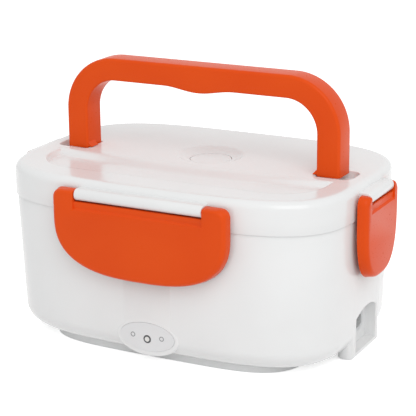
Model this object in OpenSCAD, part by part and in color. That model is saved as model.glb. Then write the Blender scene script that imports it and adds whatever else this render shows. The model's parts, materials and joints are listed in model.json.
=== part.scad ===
// Electric lunch box: a heated base with a lift-off lid, four hinged clips and a fold-down handle.
// Millimetres. X runs along the long side, -Y is the front with the lamp, +Z is up.
// The origin is on the table, under the middle of the box.

/* [Lid] */
// Length of the lid over its long side
lid_l = 220; // [212:1:232]
// Width of the lid from front to back
lid_w = 152; // [147:1:160]
// Height of the lid's flat top above the table
lid_top = 108; // [107:0.5:112]
// Wall of the lid
lid_wall = 2.4; // [2:0.1:2.6]
// Radius of the lid's rounded top edge
lid_edge_r = 5; // [4:0.5:6]
// How square the box is in plan: 2 is an ellipse, higher is squarer
corner_n = 3.8; // [3.4:0.1:4.4]
// How far the lid stands out over the base, on every side
lid_overhang = 0.8; // [0.4:0.1:1.2]

/* [Finger trough] */
// Length of the trough in the lid
trough_l = 184; // [150:1:190]
// Distance from the middle of the lid to the trough's front edge
trough_front = 52.3; // [48:0.5:56]
// Distance from the middle of the lid to the trough's back edge
trough_back = 15.5; // [14:0.5:20]
// Depth of the trough
trough_depth = 3.5; // [2.5:0.1:4]
// Corner radius of the trough's front corners
trough_r = 28; // [20:1:30]

/* [Vent] */
// Radius of the dish that holds the vent cap
dish_r = 20.5; // [18:0.5:23]
// Depth of the dish
dish_depth = 2.7; // [2:0.1:3.2]
// Distance of the dish behind the middle of the lid
dish_y = 10.5; // [6:0.5:14]
// Radius of the vent cap
vent_cap_r = 13; // [10:0.5:15]
// How far the vent cap lifts
vent_lift = 4; // [3:0.5:4.5]
// Radius of the vent cap's stem
vent_stem_r = 4.9; // [4:0.1:5.5]

/* [Base] */
// Height of the seam between base and lid
seam_z = 88.5; // [84:0.5:90]
// Height of the foot under the shell
foot_h = 4.5; // [4:0.1:6]
// Wall of the base shell
shell_wall = 2.4; // [2:0.1:2.8]
// How much each side of the shell tapers in towards the bottom
shell_draft = 2.5; // [1.5:0.1:3.5]
// Radius of the shell's rounded bottom edge
shell_bottom_r = 13; // [11:0.5:14]
// Length of the foot
foot_l = 168; // [164:1:174]
// Width of the foot
foot_w = 124; // [120:1:128]
// Thickness of the base cover's plate
cover_t = 2.2; // [1.8:0.1:2.6]

/* [Clips] */
// Width of the front and rear clips
clip_w = 114; // [106:1:118]
// Width of the end clips
end_clip_w = 51; // [48:1:60]
// Height of the lower edge of the front and rear clips
clip_bottom = 52.5; // [50:0.5:60]
// Height of the lower edge of the end clips
end_clip_bottom = 50; // [48:0.5:58]
// How far the clips stand out from the lid
clip_depth = 7.9; // [7.8:0.1:9.6]
// Wall of the clips
clip_wall = 2.4; // [2:0.1:2.6]
// Width of the ear at each end of a front or rear clip
clip_ear = 15; // [12:0.2:16]
// Width of the ear at each end of an end clip
end_clip_ear = 7.2; // [6.5:0.1:8]
// Radius of the hinge bar that a clip turns on
hinge_bar_r = 3.5; // [3.3:0.1:3.7]
// Radius of the stub pins on the clips' ears
hinge_pin_r = 1.9; // [1.5:0.1:2.1]
// Height of the ledge on the base that a clip's hook catches
ledge_h = 3.7; // [3:0.1:4.5]
// How far a clip's hook reaches in under the ledge; at 0 it stops just outside the ledge
hook_bite = 0; // [0:0.1:2]

/* [Handle] */
// Outer length of the handle
handle_l = 185; // [178:1:188]
// Height of the handle's top above the table
handle_top = 166; // [160:1:176]
// Depth of the handle from front to back
handle_d = 17; // [15:0.5:18]
// Width of each leg of the handle
leg_w = 14.6; // [12.5:0.1:15]
// Thickness of the handle's grip
grip_t = 13.8; // [12.5:0.1:15]
// Outer corner radius of the handle
handle_r = 34; // [28:1:38]
// How far the finger bump stands down under the grip
bump_h = 2.7; // [0.5:0.1:4]
// Distance of the handle behind the middle of the lid
handle_y = 1.7; // [0:0.1:3]
// Radius of the stub pins that the handle turns on
handle_pin_r = 2; // [1.6:0.1:2.4]
// Thickness of the lugs that carry the handle
lug_t = 5; // [4:0.1:5.4]

/* [Food tray and heater] */
// Width of the rim on which the tray and the seal rest
rim_w = 6.2; // [5.6:0.1:6.6]
// Wall of the heating basin
basin_wall = 2; // [1.6:0.1:2.2]
// Height of the heating basin's floor
basin_floor = 30; // [29:0.5:36]
// Wall of the food tray
tray_wall = 1.5; // [1.2:0.1:1.8]
// Length of the heating plate's raised land
plate_l = 120; // [100:1:128]
// Width of the heating plate's raised land
plate_w = 76; // [66:1:80]
// Length of the heating element
element_l = 46; // [36:1:54]
// Width of the heating element
element_w = 18; // [14:1:20]
// Thickness of the heating element
element_t = 6; // [5:0.5:7]

/* [Lamp] */
// Length of the oval lamp panel
panel_l = 36; // [30:0.5:40]
// Height of the oval lamp panel
panel_h = 17.5; // [15:0.5:18.5]
// Height of the lamp panel's middle above the table
panel_z = 16.9; // [16:0.1:19]
// Radius of the lamp's lens
lens_r = 1.5; // [1.2:0.1:2]

/* [Power inlet] */
// Width of the inlet pocket
inlet_w = 32; // [30:1:34]
// Height of the pocket's straight sides above the table
inlet_side_h = 24; // [23:0.5:26]
// Distance of the inlet behind the middle of the end
inlet_y = 5; // [2:0.5:7]
// Depth of the inlet pocket
inlet_depth = 7; // [5:0.5:8]
// Radius of the contact pins
contact_r = 1.2; // [1:0.1:1.4]
// Distance between the two contact pins
contact_gap = 8.6; // [8:0.1:9.4]

/* [Hidden] */

// Colours of the finishes
white = "#eef0f0";
orange = "#e4511f";
pale = "#f4f4f2";
grey = "#c9ccce";
metal = "#b9bcc0";
dark = "#3a3d40";

// Number of points round an outline, and segments of a round face
outline_points = 64;
round_fn = 48;
// Fits
running = 0.06;      // radial gap between a pin and its bore
seat_gap = 0.4;      // gap between pieces that come apart
trim_gap = 0.25;     // gap round a piece that is let into another
over = 1;            // how far a cutter runs past a face

// Half sizes of lid and base at the seam
lid_a = lid_l / 2;
lid_b = lid_w / 2;
base_a = lid_a - lid_overhang;
base_b = lid_b - lid_overhang;

// ---------- outlines and lofts ----------

function side_of(v) = v < 0 ? -1 : 1;

// A rounded box seen from above: a superellipse with half sizes a and b
function ring(a, b, z, n = corner_n, count = outline_points) = [
    for (i = [0 : count - 1])
        let (t = 360 * (i + 0.5) / count)
        [a * side_of(cos(t)) * pow(abs(cos(t)), 2 / n),
         b * side_of(sin(t)) * pow(abs(sin(t)), 2 / n), z]
];

function flat(points) = [for (p = points) [p[0], p[1]]];

// An ellipse-like flat outline
function oval(a, b, n = 2, count = round_fn) = flat(ring(a, b, 0, n, count));

// Skin through a stack of rings. An open stack is capped at both ends, a closed one meets itself.
module loft(rings, closed = false) {
    m = len(rings);
    k = len(rings[0]);
    last = closed ? m - 1 : m - 2;
    sides = [
        for (i = [0 : last], j = [0 : k - 1])
            let (i2 = (i + 1) % m, j2 = (j + 1) % k)
            each [[i * k + j, i2 * k + j, i2 * k + j2], [i * k + j, i2 * k + j2, i * k + j2]]
    ];
    caps = closed ? [] : [[for (j = [0 : k - 1]) j], [for (j = [k - 1 : -1 : 0]) (m - 1) * k + j]];
    polyhedron([for (r = rings) each r], concat(sides, caps), convexity = 8);
}

// Rings from a profile of [inset along x, inset along y, height] inside half sizes a and b
function rings_of(profile, a, b, n = corner_n) =
    [for (p = profile) ring(a - p[0], b - p[1], p[2], n)];

// The same inset on every side
function even(inset, z) = [inset, inset, z];

// A quarter round of radius r: from angle a0 to a1 about a centre at [inset, z]
function corner(inset, z, r, a0, a1, steps = 5) = [
    for (i = [0 : steps])
        let (t = a0 + (a1 - a0) * i / steps)
        even(inset - r * cos(t), z + r * sin(t))
];

// Round cutter or post along an axis
module rod(r, h, fn = round_fn) {
    cylinder(r = r, h = h, $fn = fn);
}

// Turns +Z into +X
module along_x() {
    rotate([0, 90, 0]) children();
}

// Turns +Z into -Y
module along_front() {
    rotate([90, 0, 0]) children();
}

// Copies at [+-x, +-y]
module at_four(x, y) {
    for (sx = [-1, 1], sy = [-1, 1]) translate([sx * x, sy * y, 0]) children();
}

// Local frame of each side: x along the side, y outwards, at the lid's outer face
module on_side(name) {
    if (name == "front") translate([0, -lid_b, 0]) rotate([0, 0, 180]) children();
    if (name == "rear") translate([0, lid_b, 0]) children();
    if (name == "right") translate([lid_a, 0, 0]) rotate([0, 0, -90]) children();
    if (name == "left") translate([-lid_a, 0, 0]) rotate([0, 0, 90]) children();
}

// ---------- base shell ----------

// Slope of the shell: inset at height z, above the rounded bottom edge
shell_knee_z = foot_h + shell_bottom_r;
function shell_inset(z) = shell_draft * (seam_z - z) / (seam_z - shell_knee_z);
inner_bottom_r = shell_bottom_r - shell_wall;

// The shell's rim turns in to carry the heating basin
turn_in = 5;

// Opening in the shell's bottom, covered by the base cover
opening_a = foot_l / 2 - 8;
opening_b = foot_w / 2 - 10;

shell_profile = concat(
    [[base_a - opening_a, base_b - opening_b, foot_h]],
    corner(shell_draft + shell_bottom_r, shell_knee_z, shell_bottom_r, -90, 0, 6),
    [even(shell_inset(seam_z - 1.2), seam_z - 1.2)],
    [even(0.2, seam_z - 0.4), even(0.6, seam_z)],
    [even(turn_in, seam_z), even(turn_in, seam_z - 1.5), even(shell_inset(seam_z - 4) + shell_wall, seam_z - 4)],
    corner(shell_draft + shell_bottom_r, shell_knee_z, inner_bottom_r, 0, -90, 4),
    [[base_a - opening_a, base_b - opening_b, foot_h + shell_wall]]
);

// Ledges that the clips' hooks catch
hinge_z = lid_top - 7;
ledge_top = seam_z - 9.5;
clip_back = 1.6;
ledge_gap = 0.3;
ledge_out = clip_back - ledge_gap;
front_ledge = clip_w - 42;
end_ledge = end_clip_w - 17;

module ledge(length) {
    root = lid_overhang + 2.2;
    translate([-length / 2, -root, ledge_top - ledge_h])
        cube([length, root + ledge_out, ledge_h]);
}

cover_n = 4.6;

// Screws that hold the base cover
screw_x = foot_l / 2 - 24;
screw_y = foot_w / 2 - 9;
screw_r = 1.5;
screw_head_r = 2.8;
screw_head_t = 1.6;
screw_boss_r = 3.6;
screw_boss_top = foot_h + 11.5;
screw_head_z = 0.5;

// Lamp boss: an oval collar that stands out of the rounded bottom edge
boss_rim = 2.6;
boss_face = lid_b - 2.9;
boss_t = 8;
boss_back = boss_face - boss_t;
panel_t = 1.2;
panel_seat = boss_face - panel_t + 0.2;
led_r = 2.5;
lamp_z = panel_z - 1.3;

module lamp_boss() {
    translate([0, -boss_back, panel_z - 0.6]) along_front()
        linear_extrude(boss_t) polygon(oval(panel_l / 2 + boss_rim, panel_h / 2 + boss_rim));
}

// Inlet housing and its pocket
housing_rim = 6;
housing_far = inlet_y + inlet_w / 2 + housing_rim;
housing_near = inlet_y - inlet_w / 2 - housing_rim - 1;
housing_bottom = 0.5;
housing_face = base_a - shell_draft;
housing_back = housing_face - inlet_depth - 2.6;
housing_r = 4;
pocket_floor = 2.4;
arch_rise = 4;
arch_r = (pow(inlet_w / 2, 2) + pow(arch_rise, 2)) / (2 * arch_rise);
housing_top = inlet_side_h + arch_rise + 2.4;
pocket_back = housing_face - inlet_depth;

module housing_block() {
    intersection() {
        translate([0, 0, housing_bottom]) linear_extrude(housing_top - housing_bottom)
            polygon(flat(ring(base_a - shell_inset(housing_top) , base_b - shell_inset(housing_top), 0)));
        translate([0, 0, housing_bottom]) linear_extrude(housing_top - housing_bottom)
            polygon([
                [housing_back, housing_near], [housing_face - housing_r, housing_near],
                for (t = [-60 : 30 : 0]) [housing_face - housing_r * (1 - cos(t)), housing_near + housing_r * (1 + sin(t))],
                [base_a + over, housing_near + housing_r], [base_a + over, housing_far - housing_r],
                for (t = [0 : 30 : 60]) [housing_face - housing_r * (1 - cos(t)), housing_far - housing_r * (1 - sin(t))],
                [housing_face - housing_r, housing_far], [housing_back, housing_far],
            ]);
    }
}

// Outline of the pocket seen from the end: straight sides under a low arch
arch_span = asin(inlet_w / 2 / arch_r);
pocket_outline = [
    [inlet_y - inlet_w / 2, pocket_floor], [inlet_y + inlet_w / 2, pocket_floor],
    for (i = [0 : 8])
        let (t = arch_span * (1 - i / 4))
        [inlet_y + arch_r * sin(t), inlet_side_h + arch_rise - arch_r * (1 - cos(t))]
];

// Prism along +X from an outline of [y, z]
module prism_x(outline, length) {
    rotate([90, 0, 90]) linear_extrude(length) polygon(outline);
}

// Inlet socket body, let into the pocket's back wall
socket_z = 15.5;
socket_w = 23;
socket_h = 12.5;
socket_t = 14;
socket_cavity_w = 18.5;
socket_cavity_h = 8.4;
socket_cavity_t = 11;
socket_lip = 1.6;

function socket_outline(w, h) = [for (p = oval(w / 2, h / 2, 3.4, 40)) [p[0] + inlet_y, p[1] + socket_z]];

module body_shell() {
    color(white) difference() {
        union() {
            loft(rings_of(shell_profile, base_a, base_b), closed = true);
            on_side("front") ledge(front_ledge);
            on_side("rear") ledge(front_ledge);
            on_side("left") ledge(end_ledge);
            on_side("right") ledge(end_ledge);
            lamp_boss();
            housing_block();
            at_four(screw_x, screw_y) translate([0, 0, foot_h + shell_wall / 2])
                rod(screw_boss_r, screw_boss_top - foot_h - shell_wall / 2);
        }
        at_four(screw_x, screw_y) translate([0, 0, foot_h - over]) rod(screw_r - 0.2, screw_boss_top - foot_h);
        translate([pocket_back, 0, 0]) prism_x(pocket_outline, base_a);
        translate([housing_back - over, 0, 0])
            prism_x(socket_outline(socket_w + trim_gap, socket_h + trim_gap), base_a);
        translate([housing_back - socket_t, 0, 0])
            prism_x(socket_outline(socket_w + 2 * socket_lip + trim_gap, socket_h + 2 * socket_lip + trim_gap), socket_t);
        translate([0, -panel_seat, panel_z]) along_front() linear_extrude(over * 3)
            polygon(oval(panel_l / 2 + trim_gap, panel_h / 2 + trim_gap));
        translate([0, -boss_back + over, lamp_z]) along_front() rod(led_r + 0.1, boss_t + 2 * over);
    }
}

// ---------- base cover ----------

module base_cover() {
    color(grey) difference() {
        linear_extrude(foot_h) polygon(flat(ring(foot_l / 2, foot_w / 2, 0, cover_n)));
        translate([0, 0, cover_t]) linear_extrude(foot_h)
            polygon(flat(ring(foot_l / 2 - 15, foot_w / 2 - 16, 0, 5)));
        at_four(screw_x, screw_y) {
            translate([0, 0, -over]) rod(screw_r + 0.2, foot_h + 2 * over);
            translate([0, 0, -over]) rod(screw_head_r + 0.3, screw_head_z + screw_head_t + over);
        }
    }
}

module screw(head_z, tip_z, head_r = screw_head_r, head_t = screw_head_t, r = screw_r) {
    translate([0, 0, head_z]) rod(head_r, head_t, 32);
    translate([0, 0, head_z]) rod(r - 0.25, tip_z - head_z, 32);
}

module cover_screws() {
    color(metal) at_four(screw_x, screw_y) screw(screw_head_z, screw_boss_top - 2);
}

// ---------- heating basin, tray and heater ----------

rim_z = seam_z + 2.5;
rim_edge = lid_wall + seat_gap - lid_overhang;
step_z = rim_z - 1.8;
basin_in = 7.8;
basin_draft = 8.5;
basin_floor_t = 2;
basin_r = 8;

basin_profile = concat(
    [even(basin_in + basin_draft - basin_wall + 6, basin_floor - basin_floor_t)],
    corner(basin_in + basin_draft - basin_wall + basin_r, basin_floor - basin_floor_t + basin_r, basin_r, -60, 0, 3),
    [even(basin_in - basin_wall, seam_z)],
    [even(rim_edge, seam_z), even(rim_edge, rim_z - 0.5), even(rim_edge + 0.5, rim_z)],
    [even(rim_w, rim_z), even(rim_w, step_z), even(basin_in, step_z)],
    corner(basin_in + basin_draft + basin_r - basin_wall, basin_floor + basin_r - basin_wall, basin_r - basin_wall, 0, -90, 4)
);

plate_a = plate_l / 2;
plate_b = plate_w / 2;
plate_n = 2.6;
plate_top = basin_floor + 0.6;
gasket_t = 1;
flange_top = basin_floor - basin_floor_t - gasket_t;
flange_t = 2.5;
flange_out = 10;
flange_n = 4.4;
plate_bottom = flange_top - flange_t;
plate_screw_x = plate_a * 0.86 + 6;
plate_screw_y = plate_b * 0.86 + 4.5;
plate_screw_r = 1.5;

module heating_basin() {
    color(pale) difference() {
        union() {
            loft(rings_of(basin_profile, base_a, base_b));
            at_four(plate_screw_x, plate_screw_y) translate([0, 0, flange_top])
                rod(3, gasket_t + basin_floor_t / 2, 24);
        }
        translate([0, 0, basin_floor - basin_floor_t - over]) linear_extrude(basin_floor_t + 2 * over)
            polygon(oval(plate_a + trim_gap, plate_b + trim_gap, plate_n, 56));
        at_four(plate_screw_x, plate_screw_y) translate([0, 0, flange_top - over])
            rod(plate_screw_r - 0.2, over + gasket_t + basin_floor_t - 0.5, 24);
    }
}

module plate_gasket() {
    color(dark) translate([0, 0, flange_top]) linear_extrude(gasket_t) difference() {
        polygon(oval(plate_a + 5, plate_b + 5, plate_n, 56));
        polygon(oval(plate_a + trim_gap, plate_b + trim_gap, plate_n, 56));
        for (sx = [-1, 1], sy = [-1, 1]) translate([sx * plate_screw_x, sy * plate_screw_y])
            circle(r = 3.2, $fn = 24);
    }
}

module heating_plate() {
    color(metal) difference() {
        union() {
            translate([0, 0, plate_bottom]) linear_extrude(flange_t)
                polygon(oval(plate_a + flange_out, plate_b + flange_out, flange_n, 56));
            translate([0, 0, plate_bottom]) linear_extrude(plate_top - plate_bottom)
                polygon(oval(plate_a, plate_b, plate_n, 56));
        }
        at_four(plate_screw_x, plate_screw_y) translate([0, 0, plate_bottom - over])
            rod(plate_screw_r + 0.2, flange_t + 2 * over, 24);
        for (s = [-1, 1]) translate([s * bracket_screw_x, 0, plate_bottom - over])
            rod(bracket_screw_r - 0.2, over + 4.2, 24);
    }
}

module plate_screws() {
    color(metal) at_four(plate_screw_x, plate_screw_y)
        screw(plate_bottom - 1.5, basin_floor - 0.8, 2.6, 1.5, plate_screw_r);
}

bracket_t = 1;
sheet_t = 0.5;
element_bottom = plate_bottom - element_t;
bracket_screw_x = element_l / 2 + 6;
bracket_screw_r = 1.5;

module heating_element() {
    color(metal) translate([-element_l / 2, -element_w / 2, element_bottom]) cube([element_l, element_w, element_t]);
}

module insulation_sheet() {
    color("#b08a4a") translate([-element_l / 2, -element_w / 2, element_bottom - sheet_t])
        cube([element_l, element_w, sheet_t]);
}

// A hat-shaped steel strap that presses the element against the plate
module element_bracket() {
    low = element_bottom - sheet_t - bracket_t;
    half = element_l / 2 + trim_gap;
    foot = 11;
    color(metal) translate([0, element_w / 2 - 3, 0]) along_front() difference() {
        linear_extrude(element_w - 6) polygon([
            [-half - foot, plate_bottom - bracket_t], [-half - bracket_t, plate_bottom - bracket_t],
            [-half - bracket_t, low], [half + bracket_t, low],
            [half + bracket_t, plate_bottom - bracket_t], [half + foot, plate_bottom - bracket_t],
            [half + foot, plate_bottom], [half, plate_bottom],
            [half, low + bracket_t], [-half, low + bracket_t],
            [-half, plate_bottom], [-half - foot, plate_bottom],
        ]);
        for (s = [-1, 1]) translate([s * bracket_screw_x, plate_bottom - bracket_t - over, element_w / 2 - 3])
            rotate([-90, 0, 0]) rod(bracket_screw_r + 0.2, bracket_t + 2 * over, 24);
    }
}

module bracket_screws() {
    color(metal) for (s = [-1, 1]) translate([s * bracket_screw_x, 0, 0])
        screw(plate_bottom - bracket_t - 1.5, plate_bottom + 4, 2.6, 1.5, bracket_screw_r);
}

thermostat_in = 13;
thermostat_x = -plate_l / 2 + thermostat_in;
thermostat_r = 8;
thermostat_t = 6;
thermostat_low = plate_bottom - thermostat_t;
terminal_w = 3.2;
terminal_drop = 5;
terminal_z = thermostat_low - 3;
function terminal_x(s) = thermostat_x + s * 4;

module thermostat() {
    color(dark) {
        translate([thermostat_x, 0, thermostat_low]) rod(thermostat_r, thermostat_t, 40);
        for (s = [-1, 1]) translate([terminal_x(s) - 1, -terminal_w / 2, thermostat_low - terminal_drop])
            cube([2, terminal_w, terminal_drop + 0.5]);
    }
}

fuse_y = element_w / 2 + 7;
fuse_r = 2;
fuse_z = plate_bottom - fuse_r;
fuse_l = 18;
fuse_half = fuse_l / 2 + 4;

module thermal_fuse() {
    color(pale) translate([0, fuse_y, fuse_z]) along_x() {
        translate([0, 0, -fuse_l / 2]) rod(fuse_r, fuse_l, 24);
        translate([0, 0, -fuse_half]) rod(0.6, 2 * fuse_half, 16);
    }
}

tray_gap = 0.6;
tray_bottom = plate_top + seat_gap;
tray_profile = concat(
    [even(basin_in + tray_gap + basin_draft + basin_r, tray_bottom)],
    corner(basin_in + tray_gap + basin_draft + basin_r - 1, tray_bottom + basin_r - 1, basin_r - 1, -90, 0, 4),
    [even(basin_in + tray_gap, step_z)],
    [even(rim_w + trim_gap, step_z), even(rim_w + trim_gap, rim_z)],
    [even(basin_in + tray_gap + tray_wall, rim_z)],
    corner(basin_in + tray_gap + basin_draft + basin_r - 1, tray_bottom + basin_r - 1, basin_r - 1 - tray_wall, 0, -90, 4)
);

module food_tray() {
    color(pale) loft(rings_of(tray_profile, base_a, base_b));
}

// ---------- inlet, lamp and wires ----------

socket_front = pocket_back;
socket_back = socket_front - socket_t;
contact_back = socket_back - 2;
contact_root = socket_front - socket_cavity_t;
contact_tip = socket_front - 1.5;
shank_r = contact_r + 0.4;

// Both contacts, from x outwards
module at_contacts(x) {
    for (s = [-1, 1]) translate([x, inlet_y + s * contact_gap / 2, socket_z]) along_x() children();
}

module inlet_socket() {
    color(grey) difference() {
        union() {
            translate([socket_back, 0, 0]) prism_x(socket_outline(socket_w, socket_h), socket_t);
            translate([socket_back, 0, 0])
                prism_x(socket_outline(socket_w + 2 * socket_lip, socket_h + 2 * socket_lip), housing_back - socket_back);
        }
        translate([contact_root, 0, 0])
            prism_x(socket_outline(socket_cavity_w, socket_cavity_h), socket_cavity_t + over);
        at_contacts(socket_back - over) rod(shank_r, socket_t, 32);
    }
}

module inlet_pins() {
    color("#c8a24a") {
        at_contacts(contact_back) rod(shank_r, contact_root - contact_back, 32);
        at_contacts(contact_root - 0.5) rod(contact_r, contact_tip - contact_root + 0.5, 32);
    }
}

// A round wire along a path of points: each ring is square to the path
function unit(v) = v / norm(v);
function tangent(path, i) = unit(path[min(i + 1, len(path) - 1)] - path[max(i - 1, 0)]);
function wire_ring(path, i, r, sides) =
    let (t = tangent(path, i), side = unit(cross(t, abs(t[2]) > 0.9 ? [0, 1, 0] : [0, 0, 1])), up = cross(side, t))
    [for (j = [0 : sides - 1]) path[i] + r * (side * cos(360 * j / sides) + up * sin(360 * j / sides))];

// Points of a smooth curve through a list of corners, each corner cut by a quadratic arc
function smooth(corners, steps = 4) = [
    corners[0],
    for (i = [1 : len(corners) - 2], s = [0 : steps])
        let (before = (corners[i - 1] + corners[i]) / 2, after = (corners[i] + corners[i + 1]) / 2, u = s / steps)
        before * pow(1 - u, 2) + corners[i] * 2 * u * (1 - u) + after * u * u,
    corners[len(corners) - 1]
];

module wire(corners, r, sides = 8) {
    path = smooth(corners);
    loft([for (i = [0 : len(path) - 1]) wire_ring(path, len(path) - 1 - i, r, sides)]);
}

lead_r = 1.1;
lead_z = element_bottom - 5;

module inlet_leads() {
    near = inlet_y - contact_gap / 2;
    far = inlet_y + contact_gap / 2;
    end = -terminal_w / 2;
    color("#8f3b2e") {
        wire([
            [contact_back, near, socket_z], [contact_back - 9, near, socket_z], [contact_back - 20, -20, lead_z],
            [element_l / 2, -25, lead_z], [-element_l / 2, -22, lead_z],
            [terminal_x(1), end - 10, terminal_z], [terminal_x(1), end, terminal_z],
        ], lead_r);
        wire([
            [contact_back, far, socket_z], [contact_back - 9, far, socket_z], [contact_back - 20, 24, lead_z],
            [element_l / 2 + 8, 27, lead_z], [30, fuse_y + 4, fuse_z - 1],
            [22, fuse_y, fuse_z], [fuse_half, fuse_y, fuse_z],
        ], lead_r);
    }
}

// From the thermostat, and from the fuse, to the element
module heater_leads() {
    end = element_bottom + 3;
    side = -element_l / 2;
    color("#e8e4da") {
        wire([
            [terminal_x(-1), terminal_w / 2, terminal_z], [terminal_x(-1), 9, terminal_z], [side - 18, 12, terminal_z + 2],
            [side - 8, 7.4, end], [side, 7.4, end],
        ], lead_r);
        wire([
            [-fuse_half, fuse_y, fuse_z], [-fuse_half - 5, fuse_y, fuse_z], [-fuse_half - 5, fuse_y - 3, end],
            [-fuse_half - 3, element_w / 2 + 3, end], [-fuse_half - 3, element_w / 2, end],
        ], lead_r / 2);
    }
}

panel_face = panel_seat + panel_t;
led_front = boss_back + 2;
led_back = boss_back - 4;
led_flange_t = 1;

module lamp_panel() {
    color(grey) translate([0, -panel_seat, panel_z]) along_front() difference() {
        linear_extrude(panel_t) polygon(oval(panel_l / 2, panel_h / 2));
        translate([0, lamp_z - panel_z, -over]) rod(lens_r + 0.05, panel_t + 2 * over, 32);
    }
}

module lamp_lens() {
    color("#f2efe4") translate([0, -led_front, lamp_z]) along_front() {
        rod(lens_r, panel_face - led_front + 0.3, 32);
        rod(lens_r + 0.6, panel_seat - led_front, 32);
    }
}

module lamp_led() {
    color("#f3d9a0") translate([0, -led_back, lamp_z]) along_front() {
        rod(led_r, led_front - led_back, 32);
        translate([0, 0, boss_back - led_back - led_flange_t]) rod(led_r + 0.8, led_flange_t, 32);
    }
}

lamp_lead_r = 0.7;
lead_bend = 6;
lead_run = 16;

module lamp_leads() {
    y = -element_w / 2;
    color("#d0d3d6") for (s = [-1, 1]) wire([
        [s * 1.3, -led_back, lamp_z], [s * 1.3, -led_back + lead_bend, lamp_z], [s * 3 + 4, -led_back + lead_run, lamp_z - 2],
        [s * 3 + 6, y - 8, element_bottom + 2], [s * 3 + 6, y, element_bottom + 2],
    ], lamp_lead_r);
}

// ---------- lid ----------

lid_bottom = seam_z + seat_gap;
lid_knee_z = lid_top - lid_edge_r;
lid_in_r = lid_edge_r - lid_wall;

// From the underside, down the inner wall, round the skirt and up over the rounded edge
lid_profile = concat(
    corner(lid_edge_r, lid_knee_z, lid_in_r, 90, 0, 4),
    [even(lid_wall, lid_bottom), even(0.7, lid_bottom), even(0.1, lid_bottom + 0.6)],
    corner(lid_edge_r, lid_knee_z, lid_edge_r, 0, 90, 6)
);

// Trough: straight front edge, round front corners, a long curved ramp at the back
function trough_outline(grow, front_x, back_mid, back_end, z) =
    let (hx = trough_l / 2 + grow - front_x, yf = -trough_front - grow + front_x, r = trough_r + grow)
    concat(
        [for (i = [0 : 16])
            let (u = 1 - i / 8)
            [hx * u, -back_mid + (back_mid - back_end) * u * u + grow, z]],
        [for (i = [0 : 8]) let (t = 180 + 90 * i / 8) [-hx + r + r * cos(t), yf + r + r * sin(t), z]],
        [for (i = [0 : 8]) let (t = 270 + 90 * i / 8) [hx - r + r * cos(t), yf + r + r * sin(t), z]]
    );

trough_floor = lid_top - trough_depth;
trough_bow = 2.5;
ramp = 11;
// Wall under the trough and the pockets
skin = 2.2;
module trough_cut() {
    loft([
        trough_outline(0, 0.8, trough_back + trough_bow + ramp, trough_back + 1.5, trough_floor),
        trough_outline(0, 0, trough_back + trough_bow, trough_back, lid_top + 0.4),
    ]);
}

// Pockets that the handle's legs stand in, with the lugs that carry them
leg_x = handle_l / 2 - leg_w / 2;
pivot_z = lid_top + handle_d / 2 + 0.5;
pocket_depth = 5;
pocket_z = lid_top - pocket_depth;
pocket_front = handle_d / 2 + 1.9;
pocket_rear = handle_d / 2 + 1.1;
pocket_inner = leg_w / 2 + 0.5;
pocket_outer = leg_w / 2 + 7.5;
lug_r = 5;
slot_gap = 0.45;

function pocket_plan(grow) =
    let (x0 = leg_x - pocket_inner - grow, x1 = leg_x + pocket_outer + grow,
         y0 = handle_y - pocket_front - grow, y1 = handle_y + pocket_rear + grow, r = 3 + grow, far = 6 + grow)
    [
        [x0, y0], [x1 - far, y0],
        for (t = [-60 : 30 : 60]) [x1 - far + far * cos(t), t < 0 ? y0 + far * (1 + sin(t)) : y1 - far * (1 - sin(t))],
        [x1 - far, y1], [x0, y1],
    ];

module both_ends() {
    children();
    mirror([1, 0, 0]) children();
}

stub_length = lug_t + 2 * slot_gap + 4.2;

// A lug stands on the pocket's floor and has a stub pin on each side
module handle_lugs() {
    color(white) both_ends() {
        translate([leg_x - lug_t / 2, handle_y, 0]) {
            translate([0, 0, pivot_z]) along_x() rod(lug_r, lug_t);
            translate([0, -lug_r, pocket_z]) cube([lug_t, 2 * lug_r, pivot_z - pocket_z]);
        }
        translate([leg_x - stub_length / 2, handle_y, pivot_z]) along_x() rod(handle_pin_r, stub_length);
    }
}

// Hinge bar on the lid's side, with a blind bore in each end
hinge_out = 4;
bar_gap = 0.5;
function bar_length(width, ear) = width - 2 * ear - 2 * bar_gap;
bore_depth = 6;

module hinge_bar(length) {
    translate([-length / 2, 0, 0]) rotate([90, 0, 90]) difference() {
        linear_extrude(length) union() {
            translate([hinge_out, hinge_z]) circle(r = hinge_bar_r, $fn = round_fn);
            translate([-lid_wall / 2, hinge_z - 2.5]) square([hinge_out + lid_wall / 2, hinge_bar_r + 2.5]);
        }
        for (z = [-over, length - bore_depth]) translate([hinge_out, hinge_z, z])
            rod(hinge_pin_r + running, bore_depth + over);
    }
}

// Dish and vent seat
dish_floor = lid_top - dish_depth;
vent_seat = dish_floor - 2.1;
vent_boss_bottom = vent_seat - 2.2;
vent_bore_h = 4;
groove_depth = 1.8;

module dish_cut() {
    flat_r = vent_cap_r + 0.3;
    translate([0, dish_y, 0]) rotate_extrude($fn = 72) polygon([
        [0, dish_floor], [flat_r, dish_floor],
        for (i = [1 : 6])
            let (u = i / 6)
            [flat_r + (dish_r - flat_r) * u, dish_floor + dish_depth * u * u],
        [dish_r + 0.8, lid_top + over], [0, lid_top + over],
    ]);
    translate([0, dish_y, vent_seat]) rod(vent_cap_r + 0.3, over + dish_floor - vent_seat, 72);
    translate([0, dish_y, vent_boss_bottom - over]) rod(vent_stem_r + 0.1, vent_bore_h + over);
}

liner_top = lid_top - 12;
liner_t = 2;
post_r = 3.5;
post_x = 66;
post_y = 55.5;

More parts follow.
